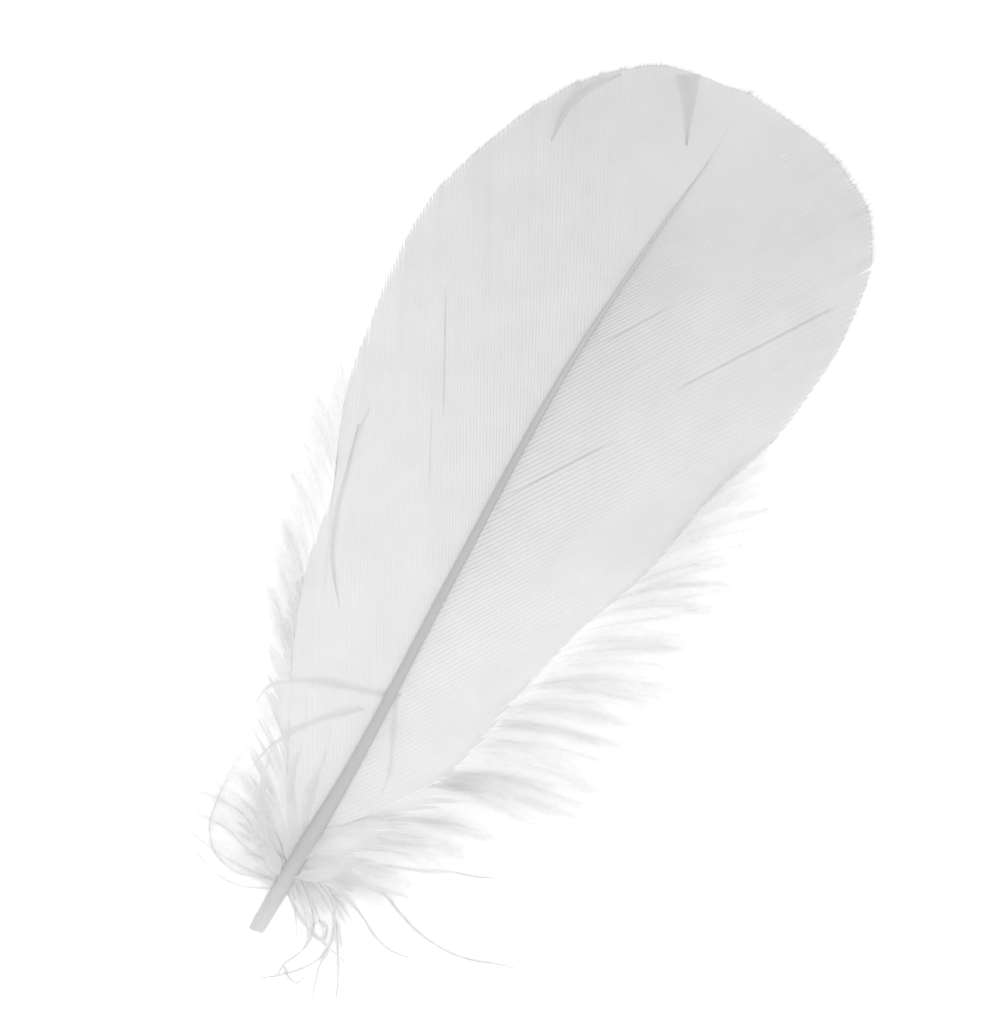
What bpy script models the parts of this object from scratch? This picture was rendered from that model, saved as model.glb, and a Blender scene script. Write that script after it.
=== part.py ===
"""White goose feather, as dropped, lying on the edges of its vane with its outer side up.

A feather grows as one piece of keratin, so it is one solid: the quill, the closed vane of barbs
on both sides of it, and the locks of loose down beside the vane and round its foot.
Metres, +Z up. +Y runs from the quill's cut end to the feather's tip, and +X is to its right
seen from above. The origin is under the middle of the whole, on the surface that it lies on.
"""

import math
import random

import bmesh
import bpy
from mathutils import Vector

MM = 0.001

# Sizes are in millimetres. Along is measured from the quill's cut end towards the feather's tip,
# across from the straight line between the quill's two ends, and height from the surface.
MIDDLE_ACROSS = 1.45
MIDDLE_ALONG = 57.5
FLOOR = 0.06

# The quill: along, then across and height of its middle, and its width and depth there.
QUILL = (
    (0.0, 0.0, 1.0, 1.9, 1.9),
    (1.0, 0.0, 1.1, 2.1, 2.1),
    (8.0, 0.0, 1.9, 2.1, 2.1),
    (25.0, 0.0, 4.3, 1.6, 1.9),
    (50.0, -1.2, 6.6, 1.2, 1.6),
    (78.0, -2.1, 6.2, 0.9, 1.3),
    (100.0, -1.0, 3.6, 0.6, 1.0),
    (111.0, 0.0, 1.9, 0.4, 0.7),
)
QUILL_SIDES = 12
QUILL_RINGS = 24

# The barbs that set the closed vane: where each pair leaves the quill, then across, along and
# height of the left one's tip, and of the right one's.
VANE = (
    (14.0, -16.3, 42.5, 3.0, 10.8, 29.0, 3.2),
    (16.0, -19.6, 52.5, 2.4, 12.3, 35.5, 3.0),
    (18.0, -22.8, 59.5, 2.0, 12.9, 40.5, 2.8),
    (21.0, -25.1, 66.0, 1.6, 13.9, 45.0, 2.6),
    (25.0, -26.2, 72.5, 1.3, 15.8, 53.0, 2.3),
    (31.0, -27.3, 79.5, 0.9, 19.4, 63.5, 1.9),
    (38.0, -27.7, 86.0, 0.6, 21.4, 75.0, 1.3),
    (46.0, -27.4, 92.5, 0.4, 24.9, 86.0, 0.7),
    (56.0, -26.0, 98.5, 0.3, 26.3, 99.0, 0.3),
    (67.0, -23.4, 105.3, 0.3, 24.8, 110.0, 0.3),
    (79.0, -19.7, 111.8, 0.3, 20.8, 116.6, 0.3),
    (91.0, -15.0, 116.2, 0.3, 15.2, 119.3, 0.3),
    (101.0, -10.0, 119.4, 0.4, 9.8, 120.7, 0.4),
    (110.0, 0.6, 121.3, 0.5, -0.6, 121.4, 0.5),
)
LEFT, RIGHT = 1, 4
VANE_THICKNESS = 0.45
VANE_LINES = 40
VANE_STEPS = 8
# The vane starts inside the quill, this far past its middle.
ROOT_OVERLAP = 0.15
# A barb bows outwards by this share of its length, and the vane droops as a share of the way out.
BARB_BOW = 0.03
DROOP = 1.7
# Barbs lie in bundles: every second line lies lower and ends a little sooner.
BUNDLE_DEPTH = 0.14
BUNDLE_SHORTER = 0.02
# Splits that run in from the vane's edge: their side, where the barbs beside them leave the quill,
# and the share of the barbs' length at which they start. The barbs close in by the last share.
SPLITS = ((LEFT, 15.6, 0.55), (LEFT, 26.0, 0.75), (LEFT, 97.0, 0.7), (RIGHT, 29.0, 0.8), (RIGHT, 62.0, 0.8))
SPLIT_CLOSING = 0.3

# Locks of down, from the top to the foot: where the barb that a lock grows on leaves the quill and
# how far out on it the lock starts, then across, along and height of the lock's tip.
LEFT_LOCKS = (
    (22.0, 0.86, -28.6, 73.5, 0.5),
    (18.0, 0.84, -30.8, 64.0, 0.4),
    (16.0, 0.78, -28.0, 55.5, 1.6),
    (15.0, 0.72, -25.5, 48.5, 0.5),
    (14.0, 0.65, -23.4, 40.5, 2.4),
    (14.0, 0.45, -20.4, 33.0, 0.4),
    (14.0, 0.25, -19.0, 26.5, 2.2),
    (13.0, 0.0, -18.0, 20.0, 0.4),
    (11.0, 0.0, -17.4, 13.5, 2.0),
    (9.0, 0.0, -16.6, 7.5, 0.4),
    (7.0, 0.0, -11.5, 2.6, 0.6),
)
RIGHT_LOCKS = (
    (39.0, 0.92, 28.4, 84.0, 0.4),
    (34.0, 0.90, 31.0, 76.0, 1.2),
    (29.0, 0.86, 32.5, 67.5, 0.4),
    (25.0, 0.84, 32.6, 58.0, 1.8),
    (21.0, 0.80, 32.9, 50.0, 0.4),
    (18.0, 0.75, 32.2, 41.5, 2.0),
    (16.0, 0.70, 32.0, 34.5, 0.4),
    (14.0, 0.50, 28.0, 27.0, 1.8),
    (14.0, 0.25, 24.4, 20.5, 0.4),
    (13.0, 0.0, 22.0, 15.5, 2.0),
    (11.0, 0.0, 19.0, 10.5, 0.4),
    (8.0, 0.0, 13.5, 5.0, 0.8),
)
LOCKS_A_SIDE = 24
LOCK_SIDES = 4
LOCK_RINGS = 8
LOCK_WIDTH = 2.4
LOCK_DEPTH = 0.9
# How wide a lock is on its way out, as a share of its greatest width.
LOCK_TAPER = ((0.0, 0.5), (0.35, 1.0), (0.7, 0.7), (1.0, 0.14))
# A lock leaves its barb turned towards the feather's tip, and bows upwards, between these bounds.
LOCK_TURN = (2.0, 34.0)
LOCK_BOW = (-0.6, 2.6)
LOCK_STRAY = 1.5
LOCK_STRAY_UP = 0.7

# Loose barbs at the foot, each through points of across, along and height.
STRAYS = (
    ((0.3, 7.5, 1.8), (4.6, 6.4, 2.6), (6.3, 2.6, 2.0), (5.7, -0.6, 1.1), (4.4, -3.0, 0.4)),
    ((0.3, 8.0, 1.8), (6.4, 7.0, 3.4), (9.0, 2.6, 3.0), (7.6, -1.6, 1.7), (3.5, -6.2, 0.4)),
    ((0.3, 7.0, 1.7), (5.0, 4.6, 1.4), (9.0, 2.6, 0.9), (12.6, 1.6, 0.4)),
    ((0.3, 8.4, 1.9), (7.0, 6.6, 2.0), (9.6, 1.6, 1.2), (10.6, -3.6, 0.4)),
    ((0.3, 9.4, 2.0), (8.0, 11.0, 2.2), (19.0, 9.7, 1.2), (25.0, 10.3, 0.8), (31.5, 12.6, 0.4)),
    ((-0.3, 7.4, 1.8), (-9.0, 7.0, 2.6), (-12.4, 10.5, 2.4), (-13.0, 15.0, 1.8), (-12.8, 20.0, 1.2)),
)
STRAY_WIDTH = 0.9
STRAY_DEPTH = 0.5
STRAY_RINGS = 11

WHITE_KERATIN = (0.74, 0.74, 0.74, 1.0)
KERATIN_ROUGHNESS = 0.6
# Faces that meet at more than this angle, in degrees, meet in an edge.
SHARP_ANGLE = 50
SEED = 8


def through(points, at):
    """Reads a smooth curve through points of (place, value, ...) at a place, and gives its values."""
    at = min(max(at, points[0][0]), points[-1][0])
    index = max(i for i in range(len(points) - 1) if points[i][0] <= at)
    left, right = points[index], points[index + 1]
    before, after = points[max(index - 1, 0)], points[min(index + 2, len(points) - 1)]
    span = right[0] - left[0]
    t = (at - left[0]) / span
    values = []
    for k in range(1, len(left)):
        slope_in = (right[k] - before[k]) / (right[0] - before[0]) * span
        slope_out = (after[k] - left[k]) / (after[0] - left[0]) * span
        value = left[k] * (1 + 2 * t) * (1 - t) ** 2 + right[k] * t * t * (3 - 2 * t)
        values.append(value + slope_in * t * (1 - t) ** 2 - slope_out * t * t * (1 - t))
    return values


def among(rows, share):
    """Reads a smooth curve through like rows of numbers, at a share of the way from first to last."""
    return through([(i, *row) for i, row in enumerate(rows)], share * (len(rows) - 1))


def curve(start, pull, end, share):
    """The point at a share of the way along a curve from start to end, drawn towards pull."""
    return start * (1 - share) ** 2 + pull * (2 * share * (1 - share)) + end * share ** 2


def quill_middle(along):
    """The middle of the quill at a place along it."""
    across, height, _, _ = through(QUILL, along)
    return Vector((across, along, height))


def on_barb(side, root, share):
    """The point at a share of the way out on the barb that leaves the quill at root."""
    start = quill_middle(root)
    end = Vector(through(VANE, root)[side - 1:side + 2])
    chord = end - start
    outwards = Vector((chord.y, -chord.x, 0)) * math.copysign(BARB_BOW, chord.x)
    point = curve(start, start.lerp(end, 0.5) + 2 * outwards, end, share)
    point.z = start.z + (end.z - start.z) * share ** DROOP
    return point


def in_frame(point):
    """The point, from millimetres along and across the feather to metres in the part's frame."""
    return (point - Vector((MIDDLE_ACROSS, MIDDLE_ALONG, FLOOR))) * MM


def rod(name, sides, rings, place, size):
    """Makes a closed rod along place(share), as wide and deep as size(share), all in millimetres."""
    mesh = bmesh.new()
    bmesh.ops.create_cone(mesh, cap_ends=True, segments=sides, radius1=0.5, radius2=0.5, depth=1)
    lengthwise = [edge for edge in mesh.edges if abs(edge.verts[0].co.z - edge.verts[1].co.z) > 0.5]
    bmesh.ops.subdivide_edges(mesh, edges=lengthwise, cuts=rings - 2, use_grid_fill=True)
    step = 0.5 / rings
    for vert in mesh.verts:
        share = vert.co.z + 0.5
        heading = (place(min(share + step, 1)) - place(max(share - step, 0))).normalized()
        beside = heading.cross(Vector((0, 0, 1))).normalized()
        above = beside.cross(heading)
        width, depth = size(share)
        vert.co = in_frame(place(share) + beside * (vert.co.x * width) + above * (vert.co.y * depth))
    bmesh.ops.recalc_face_normals(mesh, faces=mesh.faces)
    return finished(name, mesh)


def finished(name, mesh):
    """Puts a mesh in an object of its own in the scene."""
    data = bpy.data.meshes.new(name)
    mesh.to_mesh(data)
    mesh.free()
    obj = bpy.data.objects.new(name, data)
    bpy.context.scene.collection.objects.link(obj)
    return obj


def quill():
    """The quill, from its square cut end to its hair-thin tip."""
    length = QUILL[-1][0]

    def size(share):
        return through(QUILL, share * length)[2:]

    return rod("feather", QUILL_SIDES, QUILL_RINGS, lambda share: quill_middle(share * length), size)


def vane(name, side):
    """One side of the closed vane: a thin sheet, ridged along its barbs, with a few splits."""
    mesh = bmesh.new()
    bmesh.ops.create_grid(mesh, x_segments=VANE_LINES - 1, y_segments=VANE_STEPS, size=0.5)
    inwards = math.copysign(ROOT_OVERLAP, -VANE[0][side])
    first, last = VANE[0][0], VANE[-1][0]
    lines = {}
    for vert in mesh.verts:
        line, share = round((vert.co.x + 0.5) * (VANE_LINES - 1)), vert.co.y + 0.5
        root = first + (last - first) * line / (VANE_LINES - 1)
        lower = line % 2
        vert.co = on_barb(side, root, share * (1 - BUNDLE_SHORTER * lower))
        vert.co.x += inwards * (1 - share)
        vert.co.z -= BUNDLE_DEPTH * lower
        lines.setdefault(line, []).append((share, root, vert))
    for split_side, split_root, start in SPLITS:
        if split_side == side:
            open_split(mesh, lines, split_root, start)
    for vert in mesh.verts:
        vert.co = in_frame(vert.co)
    sheet = finished(name, mesh)
    skin = sheet.modifiers.new("thickness", "SOLIDIFY")
    skin.thickness = VANE_THICKNESS * MM
    skin.offset = 0
    return sheet


def open_split(mesh, lines, root, start):
    """Parts the vane between the two lines nearest root, from a share of their length outwards."""
    first = min(lines, key=lambda line: abs(lines[line][0][1] - root))
    pairs = zip(sorted(lines[first], key=lambda v: v[0]), sorted(lines[first + 1], key=lambda v: v[0]))
    opened = []
    for (share, _, vert), (_, _, other) in pairs:
        if share >= start:
            gap = other.co - vert.co
            vert.co += gap * SPLIT_CLOSING
            other.co -= gap * SPLIT_CLOSING
            opened += [vert, other]
    between = [face for face in mesh.faces if all(vert in opened for vert in face.verts)]
    bmesh.ops.delete(mesh, geom=between, context="FACES")


def lock(name, side, row, rng):
    """One lock of down: a flat tuft that widens, bows and tapers to its tip."""
    root, out, *tip = row
    start = on_barb(side, max(root, VANE[0][0]), out) if out > 0 else quill_middle(root)
    end = Vector(tip)
    end += Vector((rng.uniform(-1, 1), rng.uniform(-1, 1), 0)) * LOCK_STRAY
    end.z = max(end.z + rng.uniform(-1, 1) * LOCK_STRAY_UP, LOCK_DEPTH / 4)
    turn = math.radians(rng.uniform(*LOCK_TURN)) * math.copysign(1, end.x)
    chord = end - start
    pull = start + Vector((
        chord.x * math.cos(turn) - chord.y * math.sin(turn),
        chord.x * math.sin(turn) + chord.y * math.cos(turn),
        chord.z,
    )) / 2
    pull.z += rng.uniform(*LOCK_BOW)

    def size(share):
        wide = through(LOCK_TAPER, share)[0]
        return LOCK_WIDTH * wide, LOCK_DEPTH * wide

    return rod(name, LOCK_SIDES, LOCK_RINGS, lambda share: curve(start, pull, end, share), size)


def stray(name, points):
    """One loose barb that curls away from the foot."""
    def size(share):
        wide = through(LOCK_TAPER, share)[0]
        return STRAY_WIDTH * wide, STRAY_DEPTH * wide

    return rod(name, LOCK_SIDES, STRAY_RINGS, lambda share: Vector(among(points, share)), size)


def keratin():
    """White keratin, satin like a fingernail."""
    material = bpy.data.materials.new("white keratin")
    material.use_nodes = True
    shader = material.node_tree.nodes["Principled BSDF"]
    shader.inputs["Base Color"].default_value = WHITE_KERATIN
    shader.inputs["Roughness"].default_value = KERATIN_ROUGHNESS
    return material


def grow_together(feather, parts):
    """Joins the parts to the feather in one solid, and fills the pockets that close up between them."""
    growth = bpy.data.collections.new("growth")
    for part in parts:
        growth.objects.link(part)
    join = feather.modifiers.new("grown together", "BOOLEAN")
    join.operation = "UNION"
    join.operand_type = "COLLECTION"
    join.collection = growth
    join.solver = "EXACT"
    evaluated = feather.evaluated_get(bpy.context.evaluated_depsgraph_get())
    mesh = bmesh.new()
    mesh.from_mesh(evaluated.to_mesh())
    reached = {max(mesh.verts, key=lambda vert: vert.co.y)}
    front = list(reached)
    while front:
        vert = front.pop()
        beyond = {edge.other_vert(vert) for edge in vert.link_edges} - reached
        reached |= beyond
        front += beyond
    pockets = [vert for vert in mesh.verts if vert not in reached]
    bmesh.ops.delete(mesh, geom=pockets, context="VERTS")
    feather.modifiers.remove(join)
    mesh.to_mesh(feather.data)
    mesh.free()
    for part in parts:
        bpy.data.objects.remove(part)
    bpy.data.collections.remove(growth)


def main():
    """Builds the feather: the quill, and all that grows from it joined to it."""
    for obj in list(bpy.data.objects):
        bpy.data.objects.remove(obj)
    rng = random.Random(SEED)
    feather = quill()
    parts = [vane("vane_left", LEFT), vane("vane_right", RIGHT)]
    for side, rows in ((LEFT, LEFT_LOCKS), (RIGHT, RIGHT_LOCKS)):
        for k in range(LOCKS_A_SIDE):
            row = among(rows, k / (LOCKS_A_SIDE - 1))
            parts.append(lock(f"lock_{side}_{k}", side, row, rng))
    parts += [stray(f"stray_{k}", points) for k, points in enumerate(STRAYS)]
    grow_together(feather, parts)
    feather.data.shade_smooth()
    feather.data.set_sharp_from_angle(angle=math.radians(SHARP_ANGLE))
    feather.data.materials.append(keratin())


main()
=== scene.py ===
"""Looks of a white goose feather that lies on the edges of its vane, seen from straight above.

Plan sizes are in millimetres: across and along the feather from the quill's cut end, and height
above the surface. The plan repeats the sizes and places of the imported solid, and everything that
is dressed here is worked out from it.
"""

import logging
import math
from dataclasses import dataclass, field
from enum import Enum

import bmesh
import bpy
import numpy as np
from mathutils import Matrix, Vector


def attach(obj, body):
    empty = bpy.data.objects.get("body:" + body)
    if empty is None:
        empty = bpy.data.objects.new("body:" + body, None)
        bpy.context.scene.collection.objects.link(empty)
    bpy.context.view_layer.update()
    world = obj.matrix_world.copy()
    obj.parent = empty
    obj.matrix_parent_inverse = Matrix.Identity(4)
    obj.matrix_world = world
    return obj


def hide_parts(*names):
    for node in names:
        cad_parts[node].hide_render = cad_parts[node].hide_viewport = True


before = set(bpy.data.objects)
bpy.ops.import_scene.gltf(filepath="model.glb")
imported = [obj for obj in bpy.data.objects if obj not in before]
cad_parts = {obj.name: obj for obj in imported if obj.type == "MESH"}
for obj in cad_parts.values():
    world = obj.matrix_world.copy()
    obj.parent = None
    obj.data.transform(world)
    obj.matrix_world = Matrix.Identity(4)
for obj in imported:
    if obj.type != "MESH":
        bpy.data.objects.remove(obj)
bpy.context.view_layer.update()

MM = 0.001
BODY = "root"
NODE = "feather"
UP = np.array((0.0, 0.0, 1.0))
PHOTO_SIZE = (1000, 1033)

Rows = tuple[tuple[float, ...], ...]


class Side(Enum):
    """The two sides of the feather, seen from above with its tip up."""

    LEFT = -1
    RIGHT = 1


class Slot(Enum):
    """The record's material slots."""

    QUILL = "quill"
    VANE = "vane"
    DOWN = "down"


def linear(colour: str) -> tuple[float, float, float, float]:
    """Turns an sRGB hex colour into the linear one that a shader takes.

    Args:
        colour: six hex digits after a hash mark.

    Returns:
        Red, green, blue and an alpha of 1.
    """
    parts = [int(colour[k:k + 2], 16) / 255 for k in (1, 3, 5)]
    red, green, blue = (c / 12.92 if c <= 0.04045 else ((c + 0.055) / 1.055) ** 2.4 for c in parts)
    return red, green, blue, 1.0


def unit(vectors: np.ndarray) -> np.ndarray:
    """Scales vectors to a length of one.

    Args:
        vectors: an array whose last axis is x, y and z.

    Returns:
        An array of the same shape.
    """
    return vectors / np.maximum(np.linalg.norm(vectors, axis=-1, keepdims=True), 1e-9)


@dataclass(frozen=True)
class Track:
    """A smooth curve through rows of numbers, each a place and the values there."""

    rows: Rows

    def at(self, place: np.ndarray | float) -> np.ndarray:
        """Reads the values at some places.

        Args:
            place: the places, in any shape.

        Returns:
            The values, along one more axis.
        """
        table = np.array(self.rows, float)
        places, values = table[:, 0], table[:, 1:]
        at = np.clip(np.asarray(place, float), places[0], places[-1])
        index = np.clip(np.searchsorted(places, at, side="right") - 1, 0, len(places) - 2)
        before, after = np.maximum(index - 1, 0), np.minimum(index + 2, len(places) - 1)
        span = (places[index + 1] - places[index])[..., None]
        t = (at - places[index])[..., None] / span
        left, right = values[index], values[index + 1]
        slope_in = (right - values[before]) / (places[index + 1] - places[before])[..., None] * span
        slope_out = (values[after] - left) / (places[after] - places[index])[..., None] * span
        held = left * (1 + 2 * t) * (1 - t) ** 2 + right * t * t * (3 - 2 * t)
        return held + slope_in * t * (1 - t) ** 2 - slope_out * t * t * (1 - t)

    def value(self, place: np.ndarray | float) -> np.ndarray:
        """Reads the first value only."""
        return self.at(place)[..., 0]


def among(rows: Rows) -> Track:
    """Makes a track through like rows, read by the share of the way from the first to the last.

    Args:
        rows: the values of each row.

    Returns:
        The track, whose places run from 0 to 1.
    """
    return Track(tuple((k / (len(rows) - 1), *row) for k, row in enumerate(rows)))


def through(rows: Rows, steps: int) -> np.ndarray:
    """Runs a smooth curve through points.

    Args:
        rows: the points.
        steps: how many points the curve has.

    Returns:
        Points of the curve, evenly shared out between the given ones.
    """
    points = np.array(rows)
    points = np.concatenate((2 * points[:1] - points[1:2], points, 2 * points[-1:] - points[-2:-1]))
    place = np.linspace(0, len(rows) - 1 - 1e-6, steps)
    index = place.astype(int)
    t = (place - index)[:, None]
    a, b, c, d = (points[index + k] for k in range(4))
    square, cube = a - 2.5 * b + 2 * c - d / 2, 1.5 * (b - c) + (d - a) / 2
    return b + (c - a) * t / 2 + square * t ** 2 + cube * t ** 3


@dataclass(frozen=True)
class Plan:
    """Where everything on the feather lies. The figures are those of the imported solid."""

    middle_across: float = 1.45
    middle_along: float = 57.5
    floor: float = 0.06
    # How far a barb bows, as a share of its length.
    bow: Track = Track(((9.0, 0.03), (20.0, 0.02), (35.0, 0.0), (111.0, 0.0)))
    droop: float = 1.7
    # Along, then across and height of the quill's middle.
    quill: Track = Track((
        (0, 0, 1), (1, 0, 1.1), (8, 0, 1.9), (25, 0, 4.3), (50, -1.2, 6.6), (78, -2.1, 6.2),
        (100, -1, 3.6), (111, 0, 1.9),
    ))
    # Where a barb leaves the quill, then across, along and height of its tip.
    left: Track = Track((
        (9, -8, 22, 1.8), (10.5, -11.6, 28.6, 2), (12.2, -14.8, 35, 2.4), (14, -17.6, 43, 2.8),
        (16, -19.6, 52.5, 2.4), (18, -22.8, 59.5, 2), (21, -25.1, 66, 1.6), (25, -26.2, 72.5, 1.3),
        (31, -27.3, 79.5, 0.9), (38, -27.7, 86, 0.6), (46, -27.4, 92.5, 0.4), (56, -26, 98.5, 0.3),
        (67, -23.4, 105.3, 0.3), (79, -19.7, 111.8, 0.3), (91, -15, 116.2, 0.3), (101, -10, 119.4, 0.4),
        (110, 0, 121.4, 0.5),
    ))
    right: Track = Track((
        (14, 10.8, 29, 3.2), (16, 12.3, 35.5, 3), (18, 12.9, 40.5, 2.8), (21, 13.9, 45, 2.6),
        (25, 15.8, 53, 2.3), (31, 19.4, 63.5, 1.9), (38, 21.4, 75, 1.3), (46, 24.9, 86, 0.7),
        (56, 26.3, 99, 0.3), (67, 24.8, 110, 0.3), (79, 20.8, 116.6, 0.3), (91, 15.2, 119.3, 0.3),
        (101, 9.8, 120.7, 0.4), (110, 0, 121.4, 0.5),
    ))

    def quill_middle(self, along: np.ndarray) -> np.ndarray:
        """Finds the middle of the quill.

        Args:
            along: places along it.

        Returns:
            Points of the plan.
        """
        across, height = np.moveaxis(self.quill.at(along), -1, 0)
        return np.stack((across, along + 0 * across, height), -1)

    def barb(self, side: Side, root: np.ndarray, out: np.ndarray) -> np.ndarray:
        """Finds a point on a barb, which is also a point of the vane's surface.

        Args:
            side: the side of the vane.
            root: where the barb leaves the quill.
            out: the share of the way out to the barb's tip.

        Returns:
            Points of the plan.
        """
        tips = self.left if side is Side.LEFT else self.right
        start, end = self.quill_middle(root), tips.at(root)
        chord = end - start
        outwards = np.stack((chord[..., 1], -chord[..., 0], 0 * chord[..., 0]), -1)
        pull = (start + end) / 2 + 2 * self.bow.at(root) * side.value * outwards
        t = np.asarray(out)[..., None]
        point = start * (1 - t) ** 2 + pull * 2 * t * (1 - t) + end * t ** 2
        drop = (end - start)[..., 2] * np.maximum(out, 0) ** self.droop
        point[..., 2] = start[..., 2] + drop
        return point

    def in_frame(self, points: np.ndarray) -> np.ndarray:
        """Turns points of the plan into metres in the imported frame."""
        return (points - np.array((self.middle_across, self.middle_along, self.floor))) * MM

    def held(self, heights: np.ndarray, margin: float) -> np.ndarray:
        """Lifts heights that are less than a margin above the floor."""
        return np.maximum(heights, self.floor + margin)


@dataclass
class Skin:
    """Points, faces and surface marks of many small things, gathered as arrays into one mesh."""

    points: list[np.ndarray] = field(default_factory=list)
    faces: list[np.ndarray] = field(default_factory=list)
    marks: list[np.ndarray] = field(default_factory=list)
    finishes: list[int] = field(default_factory=list)
    finish: int = 0
    count: int = 0

    def add(self, points: np.ndarray, faces: list[np.ndarray], marks: np.ndarray | None = None) -> None:
        """Adds some points and the faces between them, in the finish that is set.

        Args:
            points: points of the plan, one a row.
            faces: arrays of point numbers, one face a row.
            marks: the surface coordinates of each point, or none.
        """
        self.points.append(points)
        self.faces += [corners + self.count for corners in faces]
        self.finishes += [self.finish] * len(faces)
        self.marks.append(np.zeros((len(points), 2)) if marks is None else marks)
        self.count += len(points)

    def strips(self, grid: np.ndarray, upwards: bool, marks: np.ndarray) -> None:
        """Adds sheets, each a grid of points: sheet, then along it, then across it.

        Args:
            grid: points in four axes.
            upwards: whether along times across already points up.
            marks: surface coordinates on the same grid.
        """
        sheets, rows, columns = grid.shape[:3]
        number = np.arange(sheets * rows * columns).reshape(sheets, rows, columns)
        corners = [number[:, :-1, :-1], number[:, 1:, :-1], number[:, 1:, 1:], number[:, :-1, 1:]]
        if not upwards:
            corners.reverse()
        quads = np.stack([c.ravel() for c in corners], -1)
        self.add(grid.reshape(-1, 3), [quads], marks.reshape(-1, 2))

    def rods(self, paths: np.ndarray, radii: np.ndarray, sides: int) -> None:
        """Adds closed thin rods.

        Args:
            paths: the points that each rod follows, in three axes.
            radii: the radius at each point.
            sides: the number of sides.
        """
        count, rings = paths.shape[:2]
        heading = unit(np.gradient(paths, axis=1))
        beside = unit(np.cross(heading, UP))
        above = np.cross(beside, heading)
        turn = np.arange(sides) * 2 * math.pi / sides
        round_off = beside[:, :, None] * np.cos(turn)[:, None] + above[:, :, None] * np.sin(turn)[:, None]
        points = paths[:, :, None] + round_off * radii[:, :, None, None]
        number = np.arange(count * rings * sides).reshape(count, rings, sides)
        beyond = np.roll(number, -1, axis=2)
        corners = (number[:, :-1], number[:, 1:], beyond[:, 1:], beyond[:, :-1])
        quads = np.stack([c.ravel() for c in corners], -1)
        self.add(points.reshape(-1, 3), [quads, number[:, 0], number[:, -1, ::-1]])

    def barbules(self, base: np.ndarray, bend: np.ndarray, tip: np.ndarray, width: np.ndarray) -> None:
        """Adds flat barbules that bend once and end in a point.

        Args:
            base: where each barbule grows.
            bend: the middle of each barbule.
            tip: its end.
            width: its width at the base.
        """
        heading = unit(tip - base)
        beside = unit(np.cross(heading, UP))
        above = np.cross(beside, heading)
        roll = (np.arange(len(base)) * 2.4)[:, None]
        half = (beside * np.cos(roll) + above * np.sin(roll)) * (width / 2)[:, None]
        points = np.stack((base - half, base + half, bend - half * 0.8, bend + half * 0.8, tip), 1)
        number = np.arange(len(base) * 5).reshape(-1, 5)
        self.add(points.reshape(-1, 3), [number[:, [0, 1, 3, 2]], number[:, [2, 3, 4]]])

    def build(self, name: str, plan: Plan) -> bpy.types.Object:
        """Makes the mesh and an object that holds it.

        Args:
            name: the object's name.
            plan: the plan that the points are in.

        Returns:
            The object.
        """
        points = plan.in_frame(np.concatenate(self.points))
        marks = np.concatenate(self.marks)
        corners = np.concatenate([f.ravel() for f in self.faces])
        sizes = np.concatenate([np.full(len(f), f.shape[1]) for f in self.faces])
        mesh = bpy.data.meshes.new(name)
        mesh.vertices.add(len(points))
        mesh.vertices.foreach_set("co", points.astype(np.float32).ravel())
        mesh.loops.add(len(corners))
        mesh.loops.foreach_set("vertex_index", corners.astype(np.int32))
        mesh.polygons.add(len(sizes))
        mesh.polygons.foreach_set("loop_start", (np.cumsum(sizes) - sizes).astype(np.int32))
        finishes = np.repeat(self.finishes, [len(f) for f in self.faces])
        mesh.polygons.foreach_set("material_index", finishes.astype(np.int32))
        mesh.update(calc_edges=True)
        mesh.uv_layers.new(name="barb").data.foreach_set("uv", marks[corners].astype(np.float32).ravel())
        mesh.shade_smooth()
        return placed(name, mesh)


def placed(name: str, mesh: bpy.types.Mesh) -> bpy.types.Object:
    """Puts a mesh in an object of its own, at the origin.

    Args:
        name: the object's name.
        mesh: its mesh.

    Returns:
        The object.
    """
    made = bpy.data.objects.new(name, mesh)
    bpy.context.scene.collection.objects.link(made)
    return made


def dress(piece: bpy.types.Object, slot: Slot, *materials: bpy.types.Material) -> bpy.types.Object:
    """Gives a piece its materials, hangs it on the body and hides the imported solid that it stands for.

    Args:
        piece: the piece.
        slot: the record's material slot; not used.
        *materials: its finishes, in the order that its faces number them.

    Returns:
        The piece.
    """
    for material in materials:
        piece.data.materials.append(material)
    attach(piece, BODY)
    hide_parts(NODE)
    return piece


def add_node(
    material: bpy.types.Material, kind: str, settings: dict | None = None, **links: object
) -> bpy.types.Node:
    """Adds a node to a material, with its settings and links.

    Args:
        material: the material.
        kind: the node's type, without ShaderNode before it.
        settings: values by property name, or by input name or number.
        **links: sockets or values by input name, with _ for a space.

    Returns:
        The node.
    """
    tree = material.node_tree
    made = tree.nodes.new("ShaderNode" + kind)
    for name, value in (settings or {}).items():
        if isinstance(name, str) and hasattr(made, name):
            setattr(made, name, value)
        else:
            made.inputs[name].default_value = value
    for name, value in links.items():
        socket = made.inputs[int(name[1:]) if name[1:].isdigit() else name.replace("_", " ")]
        if isinstance(value, bpy.types.NodeSocket):
            tree.links.new(value, socket)
        else:
            socket.default_value = value
    return made


def blank(name: str) -> bpy.types.Material:
    """Makes a material with no nodes.

    Args:
        name: its name.

    Returns:
        The material.
    """
    material = bpy.data.materials.new(name)
    material.use_nodes = True
    material.node_tree.nodes.clear()
    return material


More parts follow.
